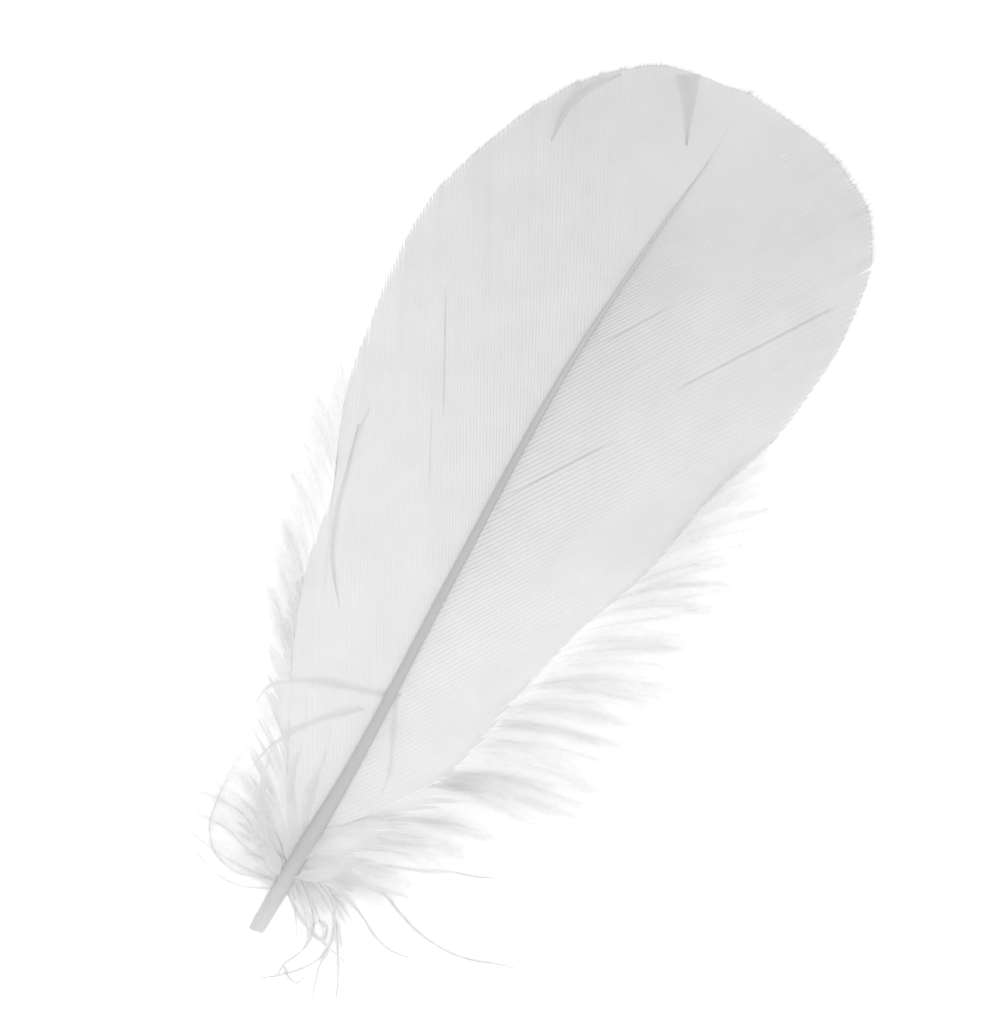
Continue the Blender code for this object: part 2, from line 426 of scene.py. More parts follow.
@dataclass(frozen=True)
class QuillKeratin:
    """Horn-like keratin of a quill, grown and dried: satin, and paler where the tube is hollow."""

    cut_end: str = "#D2D2D1"
    tube: str = "#BCBCBB"
    shaft: str = "#BBBBBA"
    tip: str = "#D2D2D1"
    roughness: float = 0.42
    # Keratin bends light by 1.54 to 1.56.
    ior: float = 1.55
    # Growth lines along the quill, in millimetres across the shaft.
    line_width: float = 0.16
    line_depth: float = 0.012
    # The colours are spread over this length of it.
    length: float = 111.0

    def make(self, plan: Plan) -> bpy.types.Material:
        """Makes the material.

        Args:
            plan: the plan, for the places where the colour changes.

        Returns:
            The material.
        """
        material = blank("quill keratin, grown and dried")
        place = add_node(material, "TexCoord").outputs["Object"]
        split = add_node(material, "SeparateXYZ", Vector=place)
        low, high = -plan.middle_along * MM, (self.length - plan.middle_along) * MM
        along = add_node(
            material, "MapRange", {"From Min": low, "From Max": high}, Value=split.outputs["Y"]
        )
        ramp = add_node(material, "ValToRGB", Fac=along.outputs["Result"])
        stops = ramp.color_ramp.elements
        stops[0].position, stops[0].color = 0.0, linear(self.cut_end)
        stops[1].position, stops[1].color = 1.0, linear(self.tip)
        for position, colour in ((0.1, self.tube), (0.32, self.shaft), (0.6, self.shaft)):
            stops.new(position).color = linear(colour)
        lengthwise = add_node(material, "Mapping", {"Scale": (1.0, 0.03, 1.0)}, Vector=place)
        lines = add_node(
            material, "TexNoise",
            {"Scale": 1 / (self.line_width * MM), "Detail": 2.0}, Vector=lengthwise.outputs["Vector"],
        )
        shade = add_node(material, "MapRange", {"To Min": 0.95, "To Max": 1.05}, Value=lines.outputs["Fac"])
        tint = add_node(
            material, "Mix", {"data_type": "RGBA", "blend_type": "MULTIPLY", 0: 1.0},
            _6=ramp.outputs["Color"], _7=shade.outputs["Result"],
        )
        bump = add_node(
            material, "Bump", {"Distance": self.line_depth * MM, "Strength": 0.6},
            Height=lines.outputs["Fac"],
        )
        shader = add_node(
            material, "BsdfPrincipled", {"Roughness": self.roughness, "IOR": self.ior},
            Base_Color=tint.outputs[2], Normal=bump.outputs["Normal"],
        )
        add_node(material, "OutputMaterial", Surface=shader.outputs["BSDF"])
        return material


@dataclass(frozen=True)
class BarbKeratin:
    """White keratin of barbs, grown: a thin film that scatters light and lets about half through."""

    name: str
    # The colours at the foot and at the tip. Where the tip's colour is darker, as on the vane, the difference
    # is painted shade.
    foot: str
    tip: str
    see_through: float = 0.5
    roughness: float = 0.6
    ior: float = 1.55
    # Cloudy patches where the barbules lie closer or looser, in millimetres.
    patch: float = 5.0
    patch_depth: float = 0.04
    # Barbules stand 0.03 mm apart. They are drawn this coarse, in millimetres, to show at all.
    barbule: float = 0.3
    barbule_depth: float = 0.012
    # Between these places along the feather, the foot's colour turns into the tip's. On the vane this is
    # painted shade: the colour darkens towards the tip.
    painted_shade_span: tuple[float, float] = (40.0, 112.0)

    def make(self, plan: Plan) -> bpy.types.Material:
        """Makes the material.

        Args:
            plan: the plan, for the places where the colour changes.

        Returns:
            The material.
        """
        material = blank(self.name)
        coordinates = add_node(material, "TexCoord")
        place = coordinates.outputs["Object"]
        split = add_node(material, "SeparateXYZ", Vector=place)
        # Painted shade: the colour turns from the foot's to the tip's along the feather, darker towards the
        # tip on the vane.
        low, high = ((at - plan.middle_along) * MM for at in self.painted_shade_span)
        along = add_node(
            material, "MapRange", {"From Min": low, "From Max": high}, Value=split.outputs["Y"]
        )
        colour = add_node(
            material, "Mix",
            {"data_type": "RGBA", 6: linear(self.foot), 7: linear(self.tip)}, _0=along.outputs["Result"],
        )
        clouds = add_node(
            material, "TexNoise", {"Scale": 1 / (self.patch * MM), "Detail": 3.0}, Vector=place
        )
        cloudy = add_node(
            material, "MapRange",
            {"From Min": 0.3, "From Max": 0.7, "To Min": 1 - self.patch_depth, "To Max": 1.0},
            Value=clouds.outputs["Fac"],
        )
        hatch = add_node(
            material, "TexWave", {"Scale": 1 / (self.barbule * 20 / math.pi), "Distortion": 1.0},
            Vector=coordinates.outputs["UV"],
        )
        hatched = add_node(
            material, "MapRange", {"To Min": 1 - self.barbule_depth, "To Max": 1.0},
            Value=hatch.outputs["Fac"],
        )
        both = add_node(
            material, "Math", {"operation": "MULTIPLY"},
            _0=cloudy.outputs["Result"], _1=hatched.outputs["Result"],
        )
        tint = add_node(
            material, "Mix", {"data_type": "RGBA", "blend_type": "MULTIPLY", 0: 1.0},
            _6=colour.outputs[2], _7=both.outputs["Value"],
        )
        film = add_node(
            material, "BsdfPrincipled",
            {"Roughness": self.roughness, "IOR": self.ior, "Specular IOR Level": 0.3},
            Base_Color=tint.outputs[2],
        )
        through = add_node(material, "BsdfTranslucent", Color=tint.outputs[2])
        mixed = add_node(
            material, "MixShader", {0: self.see_through},
            _1=film.outputs["BSDF"], _2=through.outputs["BSDF"],
        )
        add_node(material, "OutputMaterial", Surface=mixed.outputs["Shader"])
        return material


@dataclass
class Quill:
    """The quill: a round tube at its foot, and past the vane's foot a shaft grooved underneath."""

    plan: Plan
    sides: int = 28
    rings: int = 150
    # Along, then width and depth.
    size: Track = Track((
        (0, 1.9, 1.8), (1.5, 2.05, 2), (10, 2.1, 2.1), (16, 1.95, 2), (21, 1.66, 1.9), (27, 1.46, 1.85),
        (36, 1.28, 1.75), (50, 1.1, 1.6), (70, 0.86, 1.35), (90, 0.54, 1.05), (100, 0.36, 0.8),
        (106, 0.2, 0.5), (111.5, 0.08, 0.25),
    ))
    # The groove underneath starts here along the quill, and is this share of its depth.
    groove_start: float = 17.0
    groove_depth: float = 0.3
    # The cut at the end leans, in millimetres from one side to the other.
    cut_lean: float = 0.35
    # The tube isn't quite straight or even.
    waver: float = 0.025

    def build(self, material: bpy.types.Material) -> bpy.types.Object:
        """Makes the quill from a cylinder whose rings follow the plan.

        Args:
            material: its finish.

        Returns:
            The piece.
        """
        mesh = bmesh.new()
        bmesh.ops.create_cone(mesh, cap_ends=True, segments=self.sides, radius1=1, radius2=1, depth=1)
        long_edges = [e for e in mesh.edges if abs(e.verts[0].co.z - e.verts[1].co.z) > 0.5]
        bmesh.ops.subdivide_edges(mesh, edges=long_edges, cuts=self.rings - 2, use_grid_fill=True)
        caps = [f for f in mesh.faces if abs(f.normal.z) > 0.9]
        bmesh.ops.inset_region(mesh, faces=caps, thickness=0.12, depth=0.0)
        unit_points = np.array([v.co for v in mesh.verts])
        points = self.plan.in_frame(self.shaped(unit_points))
        for vert, point in zip(mesh.verts, points):
            vert.co = point
        bmesh.ops.recalc_face_normals(mesh, faces=mesh.faces)
        data = bpy.data.meshes.new("quill")
        mesh.to_mesh(data)
        mesh.free()
        data.shade_smooth()
        data.set_sharp_from_angle(angle=math.radians(50))
        return dress(placed("quill", data), Slot.QUILL, material)

    def shaped(self, points: np.ndarray) -> np.ndarray:
        """Moves points of a unit cylinder to their places on the quill.

        Args:
            points: points of a cylinder of radius 1 and length 1, round its middle.

        Returns:
            Points of the plan.
        """
        first, last = self.size.rows[0][0], self.size.rows[-1][0]
        x, y = points[:, 0], points[:, 1]
        along = first + (points[:, 2] + 0.5) * (last - first)
        width, depth = np.moveaxis(self.size.at(along), -1, 0)
        grooved = np.clip((along - self.groove_start) / 6, 0, 1) * self.groove_depth
        hollow = grooved * np.exp(-(x / 0.38) ** 2) * (y < 0)
        flat = 1 + grooved * 0.12 * np.sin(2 * np.arctan2(y, x)) ** 2
        uneven = 1 + self.waver * np.sin(along * 1.1) * np.cos(2 * np.arctan2(y, x) + along * 0.5)
        middle = self.plan.quill_middle(along)
        heading = unit(self.plan.quill_middle(along + 0.2) - self.plan.quill_middle(along - 0.2))
        beside = unit(np.cross(heading, UP))
        above = np.cross(beside, heading)
        side_way = (x * width / 2 * flat * uneven)[:, None] * beside
        up_way = (y * (1 - hollow) * depth / 2 * flat * uneven)[:, None] * above
        near_end = np.exp(-((along - first) / 0.5) ** 2)
        lean = (near_end * (x * self.cut_lean / 2 + 0.05 * np.sin(5 * x) * y))[:, None] * heading
        return middle + side_way + up_way + lean


@dataclass(frozen=True)
class Split:
    """A line where two neighbouring barbs have come apart or slid over each other."""

    root: float
    start: float
    end: float
    # How far apart along the quill: above 0 it is an open slit, and below 0 an overlap.
    gap: float
    # How far along the quill the barbs beside it give way.
    reach: float = 2.5


@dataclass(frozen=True)
class Flap:
    """A narrow fold, where a bundle of barbs lies on its neighbours."""

    # Across and along of points on its middle line, then its width there.
    line: Rows
    barbs: int
    lift: float = 0.12
    rib_radius: float = 0.014


@dataclass(kw_only=True)
class Vane:
    """One side of the closed vane: barbs, the webs that join them, and their free tips."""

    name: str
    side: Side
    plan: Plan
    seed: int
    splits: tuple[Split, ...] = ()
    flaps: tuple[Flap, ...] = ()
    first_root: float = 14.2
    last_root: float = 110.4
    # Barbs leave the quill every 0.87 mm, and closer together near its tip.
    pitch: Track = Track(((9.0, 0.87), (84.0, 0.87), (98.0, 0.7), (111.0, 0.5)))
    steps: int = 48
    # The share of the way to the next barb that the web reaches, its narrowest and widest as
    # shares of the pitch, and how far its edges hang.
    web_share: float = 0.505
    web_limits: tuple[float, float] = (0.48, 0.62)
    web_drop: tuple[float, float] = (0.05, 0.015)
    # By the barb's place on the quill: over what length before the barb's tip the web narrows, and
    # what share of its width is left.
    web_end: Track = Track(((14.0, 2.0, 0.3), (26.0, 1.2, 0.55), (52.0, 0.8, 0.75), (111.0, 0.4, 0.9)))
    least_web: float = 0.02
    # How strongly the barbs stand out, by their place on the quill.
    relief: Track = Track(((14.0, 0.25), (40.0, 0.4), (58.0, 1.0), (98.0, 1.0), (111.0, 0.2)))
    barb_radius: tuple[float, float] = (0.045, 0.01)
    tip_length: float = 1.2
    uneven: float = 0.07
    # Towards this place on the quill the barbs' drift and thickness fade, over these lengths.
    fade_end: float = 112.0
    drift_fade: float = 20.0
    thickness_fade: float = 25.0
    # Over what share of a barb a split opens, and how high one barb rides over another.
    split_ease: float = 0.06
    overlap_lift: float = 0.06
    # How much further than the plan the webs reach, by the barb's place on the quill.
    longer: Track = Track(((9.0, 0.35), (40.0, 0.2), (50.0, -0.6), (78.0, -0.5), (92.0, -0.1), (111.0, 0.1)))
    small_splits: int = 56
    # The hair-thin ends that stand past the webs: how many a barb, and how long.
    fringe_count: int = 22
    fringe_length: tuple[float, float] = (0.4, 2.4)
    fringe_width: float = 0.022
    fringe_clear: float = 0.03
    # Up to this place on the quill down stands beside the vane, and over this length it ends.
    down_beside: float = 30.0
    down_fade: float = 22.0

    def build(self, material: bpy.types.Material) -> bpy.types.Object:
        """Makes this side of the vane.

        Args:
            material: its finish.

        Returns:
            The piece.
        """
        self.rng = np.random.default_rng(self.seed)
        roots = [self.first_root]
        while roots[-1] < self.last_root:
            roots.append(roots[-1] + float(self.pitch.value(roots[-1])) * self.rng.uniform(0.95, 1.05))
        self.root = np.array(roots)
        bundles = np.repeat(self.rng.normal(0, 1, len(self.root)), self.rng.integers(1, 6, len(self.root)))
        loose = bundles[:len(self.root)] * self.uneven + self.rng.normal(0, 0.025, len(self.root))
        self.length = np.linalg.norm(
            self.plan.barb(self.side, self.root, np.ones(len(self.root)))
            - self.plan.quill_middle(self.root), axis=-1,
        )
        self.reach = 1 + (loose + self.longer.value(self.root)) / self.length
        self.fray = self.rng.uniform(0.5, 1.5, len(self.root))
        self.marked = self.splits + tuple(
            Split(
                self.rng.uniform(self.first_root, self.last_root), start,
                start + self.rng.uniform(0.04, 0.14),
                self.rng.choice((-0.2, 0.07, 0.07)) * self.rng.uniform(0.5, 1.2), 1.2,
            )
            for start in self.rng.uniform(0.1, 0.9, self.small_splits)
        )
        skin = Skin()
        self.add_webs(skin)
        self.add_barbs(skin)
        self.add_fringe(skin)
        return dress(skin.build(self.name, self.plan), Slot.VANE, material)

    def build_folds(self, material: bpy.types.Material) -> bpy.types.Object:
        """Makes the folds that lie on this side, once the side itself is built.

        Args:
            material: their finish.

        Returns:
            The piece.
        """
        skin = Skin()
        for flap in self.flaps:
            self.add_flap(skin, flap)
        return dress(skin.build(self.name + "_folds", self.plan), Slot.VANE, material)

    def at(self, which: np.ndarray, out: np.ndarray, off: np.ndarray | float = 0.0) -> np.ndarray:
        """Finds points beside a barb, with the vane's drift, splits and waves.

        Args:
            which: the numbers of the barbs.
            out: the share of the way out.
            off: how far from the barb, along the quill.

        Returns:
            Points of the plan.
        """
        shift, lift = self.moved(which, out)
        point = self.plan.barb(self.side, self.root[which] + shift + off, out * self.reach[which])
        point[..., 2] += lift
        return point

    def moved(self, which: np.ndarray, out: np.ndarray) -> tuple[np.ndarray, np.ndarray]:
        """Works out how barbs drift, part and slide over each other.

        Args:
            which: the numbers of the barbs.
            out: the share of the way out.

        Returns:
            How far they move along the quill, and how far up.
        """
        root = self.root[which]
        shift = 0.2 * np.sin(root * 0.55 + 3.0 * out) * out + 0.1 * np.sin(root * 1.27 - 4.0 * out) * out ** 2
        shift = shift * np.clip((self.fade_end - root) / self.drift_fade, 0, 1)
        lift = 0.1 * np.sin(root * 0.31 + 5 * out) * out
        for split in self.marked:
            away = root - split.root
            opened = np.clip((out - split.start) / self.split_ease, 0, 1)
            inside = opened * np.clip((split.end - out) / self.split_ease, 0, 1)
            give = inside * np.exp(-np.abs(away) / split.reach)
            shift = shift + np.sign(away) * split.gap / 2 * give
            if split.gap < 0:
                lift = lift + self.overlap_lift * give * (away > 0)
        return shift, lift

    def half_width(self, which: np.ndarray, out: np.ndarray, way: int) -> np.ndarray:
        """How wide the web is on one side of a barb, along the quill.

        Args:
            which: the numbers of the barbs.
            out: the share of the way out.
            way: -1 for the side towards the quill's foot, 1 for the other.

        Returns:
            Widths in millimetres.
        """
        beyond = np.clip(which + way, 0, len(self.root) - 1)
        pitch = np.abs(self.root[beyond] - self.root[which])
        here = self.root[which] + self.moved(which, out)[0]
        there = self.root[beyond] + self.moved(beyond, out)[0]
        least, most = (share * pitch for share in self.web_limits)
        width = np.clip(np.abs(there - here) * self.web_share, least, most)
        if way > 0:
            # The last barb has no web on its outer side, where the two sides of the vane meet.
            width = np.where(which == len(self.root) - 1, self.least_web, width)
        stretch, kept = np.moveaxis(self.web_end.at(self.root[which]), -1, 0)
        left = np.clip((1 - out) * self.length[which] / (stretch * self.fray[which]), 0.0, 1.0) ** 0.7
        return np.maximum(width, self.least_web) * (kept + (1 - kept) * left)

    def standing(self, which: np.ndarray, out: np.ndarray) -> np.ndarray:
        """How strongly barbs stand out, which fades away from the quill.

        Args:
            which: the numbers of the barbs.
            out: the share of the way out.

        Returns:
            Shares of the full strength.
        """
        return self.relief.value(self.root[which]) * (1 - 0.75 * np.clip(out / 0.5, 0, 1))

    def add_webs(self, skin: Skin) -> None:
        """Adds the webs of barbules on both sides of every barb, each over its lower neighbour's."""
        which = np.arange(len(self.root))[:, None]
        out = 1 - (1 - np.linspace(0, 1, self.steps)[None, :]) ** 1.6
        middle = self.at(which, out)
        run = out * self.length[:, None]
        for way, drop in zip((-1, 1), self.web_drop):
            edge = self.at(which, out, way * self.half_width(which, out, way))
            edge[..., 2] = edge[..., 2] - drop * self.standing(which, out)
            grid = np.stack((edge, middle) if way < 0 else (middle, edge), 2)
            sides = (1, 0) if way < 0 else (0, 1)
            marks = np.stack([np.stack((run + 0.5 * k * way, run * 0 + k * way), -1) for k in sides], 2)
            skin.strips(grid, self.side is Side.RIGHT, marks)

    def add_barbs(self, skin: Skin) -> None:
        """Adds the barbs themselves, which end in hair-thin tips past the webs."""
        which = np.arange(len(self.root))[:, None]
        ends = self.tip_length * self.rng.uniform(0.3, 1.0, len(self.root)) / self.length
        inside = 1 - (1 - np.linspace(0, 1, self.steps - 4)[None, :]) ** 1.3
        beyond = np.linspace(0, 1, 5)[None, 1:] * ends[:, None]
        out = np.concatenate((inside + 0 * which, 1 + beyond), 1)
        paths = self.at(which, out)
        thick, thin = self.barb_radius
        radii = thin + (thick - thin) * self.standing(which, out) * (1 - np.minimum(out, 1)) ** 0.5
        radii = np.where(out > 1, thin * (1 - 0.75 * (out - 1) / ends[:, None]), radii)
        radii = radii * np.clip((self.fade_end - self.root) / self.thickness_fade, 0.2, 1)[:, None]
        paths[..., 2] = self.plan.held(paths[..., 2] + radii * 0.1, thick * 0.2)
        skin.rods(paths, radii, 3)

    def add_fringe(self, skin: Skin) -> None:
        """Adds the hair-thin ends that stand past the webs all along the margin."""
        rng = self.rng
        which = np.repeat(np.arange(len(self.root) - 1), self.fringe_count)
        # Where down stands beside the vane, few of them show.
        shown = np.clip((self.root[which] - self.down_beside) / self.down_fade, 0.1, 1)
        which = which[rng.uniform(0, 1, len(which)) < shown]
        pitch = np.diff(self.root)[which]
        out = 1 - rng.uniform(0, 0.2, len(which)) / self.length[which]
        base = self.at(which, out, rng.uniform(-0.5, 0.5, len(which)) * pitch)
        heading = unit(self.at(which, out + 0.01) - self.at(which, out))
        beside = unit(np.cross(heading, UP))
        shortest, longest = self.fringe_length
        size = shortest + (longest - shortest) * rng.uniform(0, 1, len(which)) ** 2
        lean = unit(heading + beside * rng.normal(0, 0.3, len(which))[:, None])
        ahead = unit(lean + beside * rng.normal(0, 0.3, len(which))[:, None])
        bend = base + lean * (size * 0.5)[:, None]
        tip = bend + ahead * (size * 0.5)[:, None]
        for points in (bend, tip):
            heights = points[:, 2] + rng.normal(0, 0.03, len(which))
            points[:, 2] = self.plan.held(heights, self.fringe_clear)
        skin.barbules(base, bend, tip, np.full(len(which), self.fringe_width))

    def add_flap(self, skin: Skin, flap: Flap) -> None:
        """Adds a fold: strips of barbs beside each other along its middle line."""
        share = np.linspace(0, 1, 24)
        line = through(flap.line, len(share))
        middle = np.concatenate((line[:, :2], np.zeros((len(share), 1))), 1)
        beside = unit(np.cross(unit(np.gradient(middle, axis=0)), UP))
        grid = []
        for k in range(flap.barbs):
            edges = [(k + j) / flap.barbs - 0.5 for j in (0.0, 1.12)]
            grid.append(np.stack([middle + beside * (line[:, 2:3] * e) for e in edges], 1))
        grid = np.stack(grid)
        height = self.height_at(grid)
        fade = np.sin(np.pi * np.clip(share, 0, 1))[None, :, None]
        grid[..., 2] = height + flap.lift * (0.3 + 0.7 * fade) + np.array((0.03, 0.0))
        run = np.broadcast_to(share[None, :, None] * 12.0, grid.shape[:3])
        skin.strips(grid, False, np.stack((run, run * 0), -1))
        ribs = grid[:, :, 1].copy()
        skin.rods(ribs, np.full(ribs.shape[:2], flap.rib_radius), 3)

    def height_at(self, points: np.ndarray) -> np.ndarray:
        """Finds the vane's height under some points.

        Args:
            points: points of the plan, whose heights aren't read.

        Returns:
            The heights.
        """
        root, out = np.meshgrid(np.arange(len(self.root)), np.linspace(0.02, 1.0, 90), indexing="ij")
        surface = self.at(root, out).reshape(-1, 3)
        flat = points.reshape(-1, 3)
        nearest = [np.argmin(((surface[:, :2] - p[:2]) ** 2).sum(1)) for p in flat]
        return surface[nearest, 2].reshape(points.shape[:-1])


@dataclass(kw_only=True)
class Loose:
    """Loose barbs with long fine barbules. Each kind of them says where its barbs run."""

    name: str
    plan: Plan
    seed: int
    radius: float = 0.02
    taper: float = 0.75
    # Half the width of the film that close barbules make along a barb, and the share of the
    # barb where it ends.
    film: float = 0.0
    film_reach: float = 1.0
    barbule_pitch: float = 0.07
    barbule_length: tuple[float, float] = (1.4, 3.4)
    barbule_width: float = 0.018
    # How far the barbules stand away from their barb, in degrees.
    opening: tuple[float, float] = (10.0, 48.0)
    # The share of the barb that is bare. With inner above 1 more barbules stand near its foot,
    # and below 1 near its tip.
    bare: float = 0.0
    inner: float = 1.0
    # A barb of this length carries its full number of barbules.
    full_length: float = 14.0
    # How far films and barbules stay above the floor.
    clear: float = 0.04

    def build(self, barbs: bpy.types.Material, barbules: bpy.types.Material) -> bpy.types.Object:
        """Makes the loose barbs.

        Args:
            barbs: the finish of the barbs.
            barbules: the finish of their barbules.

        Returns:
            The piece.
        """
        self.rng = np.random.default_rng(self.seed)
        paths = self.paths()
        share = np.linspace(0, 1, paths.shape[1])[None, :]
        skin = Skin()
        skin.rods(paths, self.radius * (1 - self.taper * share ** 0.8) + 0 * paths[..., 0], 3)
        if self.film:
            self.add_films(skin, paths)
        skin.finish = 1
        self.add_barbules(skin, paths)
        return dress(skin.build(self.name, self.plan), Slot.DOWN, barbs, barbules)

    def paths(self) -> np.ndarray:
        """Works out where the barbs run.

        Returns:
            Points of the plan, by barb and by place along it.
        """
        raise NotImplementedError

    @staticmethod
    def on(paths: np.ndarray, which: np.ndarray, share: np.ndarray) -> tuple[np.ndarray, np.ndarray]:
        """Finds points on barbs, and where the barbs head there.

        Args:
            paths: points by barb and by place along it.
            which: the numbers of the barbs.
            share: the share of the way to the tip.

        Returns:
            The points and the headings.
        """
        place = np.clip(share, 0, 1) * (paths.shape[1] - 1)
        index = np.minimum(place.astype(int), paths.shape[1] - 2)
        part = (place - index)[..., None]
        before, after = paths[which, index], paths[which, index + 1]
        return before * (1 - part) + after * part, unit(after - before)

    def add_films(self, skin: Skin, paths: np.ndarray) -> None:
        """Adds a narrow film along each barb, level beside it."""
        which = np.arange(len(paths))[:, None]
        share = np.linspace(0, self.film_reach, 3 * paths.shape[1] // 4)[None, :] + 0 * which
        middle, heading = self.on(paths, which, share)
        beside = unit(np.cross(heading, UP))
        width = self.film * np.clip(share / 0.08, 0.2, 1) * (1.001 - share / self.film_reach) ** 0.5
        width = width * (1 + 0.35 * np.sin(self.rng.uniform(0, 6.3, len(paths))[:, None] + 17 * share))
        side_way = beside * width[..., None]
        self.lay_films(skin, np.stack((middle + side_way, middle, middle - side_way), 2), True)

    def lay_films(self, skin: Skin, grid: np.ndarray, upwards: bool) -> None:
        """Adds strips of film, held above the floor."""
        grid[..., 2] = self.plan.held(grid[..., 2], self.clear)
        skin.strips(grid, upwards, np.zeros((*grid.shape[:3], 2)))

    def add_barbules(self, skin: Skin, paths: np.ndarray) -> None:
        """Adds the long fine barbules on both sides of each barb."""
        rng = self.rng
        length = np.linalg.norm(np.diff(paths, axis=1), axis=-1).sum(1)
        # Short barbs carry fewer of them.
        full = np.clip(length / self.full_length, 0.3, 1.1)
        count = np.maximum((length * full * 2 / self.barbule_pitch).astype(int), 4)
        which = np.repeat(np.arange(len(paths)), count)
        share = self.bare + (1 - self.bare) * rng.uniform(0.0, 1.0, len(which)) ** self.inner
        base, heading = self.on(paths, which, share)
        beside = unit(np.cross(heading, UP)) * rng.choice((-1.0, 1.0), len(which))[:, None]
        roll = rng.normal(0, 0.6, len(which))[:, None]
        outwards = beside * np.cos(roll) + UP * np.sin(roll)
        size = rng.uniform(*self.barbule_length, len(which)) * (1 - 0.55 * share ** 2)
        open_angle = np.radians(rng.uniform(*self.opening, len(which)))[:, None]
        lean = heading * np.cos(open_angle) + outwards * np.sin(open_angle)
        closing = open_angle * rng.uniform(0.1, 0.9, len(which))[:, None]
        ahead = heading * np.cos(closing) + outwards * np.sin(closing)
        bend = base + lean * (size * 0.5)[:, None]
        tip = bend + ahead * (size * 0.5)[:, None]
        for points in (bend, tip):
            points[:, 2] = self.plan.held(points[:, 2], self.clear)
        skin.barbules(base, bend, tip, self.barbule_width * rng.uniform(0.7, 1.2, len(which)))


@dataclass(kw_only=True)
class Down(Loose):
    """The down of a stretch of one side of the feather."""

    side: Side
    # Where a barb leaves the quill and how far out it comes loose, then its tip's place.
    rows: Rows
    strands: int
    clumps: int
    # Below 1, fewer barbs stand near the first row than near the last.
    crowding: float = 1.0
    # How much each barb leans towards the middle of its clump.
    gathered: float = 0.14
    # The shares of the longest reach that the barbs have.
    reach: tuple[float, float] = (0.7, 1.1)
    spread: float = 0.9
    # How far a barb's start and end turn from the straight line between them, in degrees.
    turn: tuple[float, float] = (2.0, 34.0)
    rise: tuple[float, float] = (-0.4, 1.6)
    steps: int = 16
    wave: float = 0.25
    foot_root: float = 14.0
    # How many neighbours share their bends, so that the films between them stay smooth.
    kin: int = 1
    # How far barbs and their tips stay above the floor.
    path_clear: float = 0.08
    tip_clear: float = 0.12

    def varied(self, low: float, high: float) -> np.ndarray:
        """Draws a value for every barb, alike for those that share their bends.

        Args:
            low: the least value.
            high: the greatest.

        Returns:
            The values.
        """
        values = self.rng.uniform(low, high, self.strands + 2 * self.kin)
        alike = np.convolve(values, np.full(self.kin, 1 / self.kin), "same")[self.kin:-self.kin]
        return (low + high) / 2 + (alike - (low + high) / 2) * self.kin ** 0.4

    def paths(self) -> np.ndarray:
        """Works out where the barbs run: curved, waved and gathered in clumps.

        Returns:
            Points of the plan, by barb and by place along it.
        """
        rng, count = self.rng, self.strands
        loose = 1 / self.kin ** 2
        share = ((np.arange(count) + 0.5 + rng.uniform(-0.5, 0.5, count) * loose) / count) ** self.crowding
        nearest = np.round(share * self.clumps + rng.normal(0, 0.15, count) * loose)
        clump = np.clip(nearest / self.clumps, 0, 1)
        track = among(self.rows)
        root, out = np.moveaxis(track.at(share)[:, :2], -1, 0)
        pulled = self.gathered * self.varied(0.2, 1.0)[:, None]
        tip = track.at(share)[:, 2:] * (1 - pulled) + track.at(clump)[:, 2:] * pulled
        if self.kin == 1:
            out = np.where(out > 0.3, out + (1 - out) * rng.uniform(0, 1, count) ** 0.35, out)
        on_vane = self.plan.barb(self.side, np.maximum(root, self.foot_root), np.maximum(out, 0.0))
        on_quill = self.plan.quill_middle(root + rng.uniform(-1.2, 1.2, count) / self.kin)
        start = np.where((out > 0.01)[:, None], on_vane, on_quill)
        start[:, 2] -= self.varied(0.02, 0.25)
        chord = tip - start
        tip = start + chord * self.varied(*self.reach)[:, None]
        tip = tip + unit(np.cross(chord, UP)) * (self.varied(-1.7, 1.7) * self.spread)[:, None]
        tip[:, 2] = self.plan.held(tip[:, 2] + self.varied(-0.8, 0.8), self.tip_clear)
        chord = tip - start
        turn = np.radians(self.varied(*self.turn)) * self.side.value
        pull_out = start + self.turned(chord, turn) / 3
        pull_in = tip - self.turned(chord, -0.7 * turn) / 3
        lift = self.varied(*self.rise)
        pull_out[:, 2] += lift
        pull_in[:, 2] += lift * 0.6
        t = np.linspace(0, 1, self.steps)[None, :, None]
        start, pull_out, pull_in, tip = (p[:, None] for p in (start, pull_out, pull_in, tip))
        paths = (
            start * (1 - t) ** 3 + 3 * pull_out * t * (1 - t) ** 2
            + 3 * pull_in * t ** 2 * (1 - t) + tip * t ** 3
        )
        waves = np.linalg.norm(chord, axis=1) / self.varied(5.0, 11.0)
        phase = self.varied(0.0, 2 * math.pi)[:, None]
        swing = self.wave * t[..., 0] * np.sin(phase + 2 * math.pi * waves[:, None] * t[..., 0])
        paths = paths + unit(np.cross(chord, UP))[:, None] * swing[..., None]
        paths[..., 2] = self.plan.held(paths[..., 2] + 0.5 * swing, self.path_clear)
        return paths

    def add_films(self, skin: Skin, paths: np.ndarray) -> None:
        """Adds the film between neighbouring barbs, which ends in a point along each of them."""
        which = np.arange(len(paths))[:, None]
        t = np.linspace(0, 1, self.steps)[None, :]
        share = t * np.minimum(self.film_reach * self.rng.uniform(0.6, 1.4, len(paths))[:, None], 1.0)
        middle = self.on(paths, which, share)[0]
        columns = [middle]
        for way in (-1, 1):
            beyond = np.clip(which + way, 0, len(paths) - 1)
            across = self.on(paths, beyond, share)[0] - middle
            far = np.maximum(np.linalg.norm(across, axis=-1, keepdims=True), 1e-6)
            half = np.minimum(far / 2, self.film * (1.001 - t[..., None]) ** 0.8)
            columns.insert(0 if way < 0 else 2, middle + across / far * half)
        self.lay_films(skin, np.stack(columns, 2), self.side is Side.LEFT)

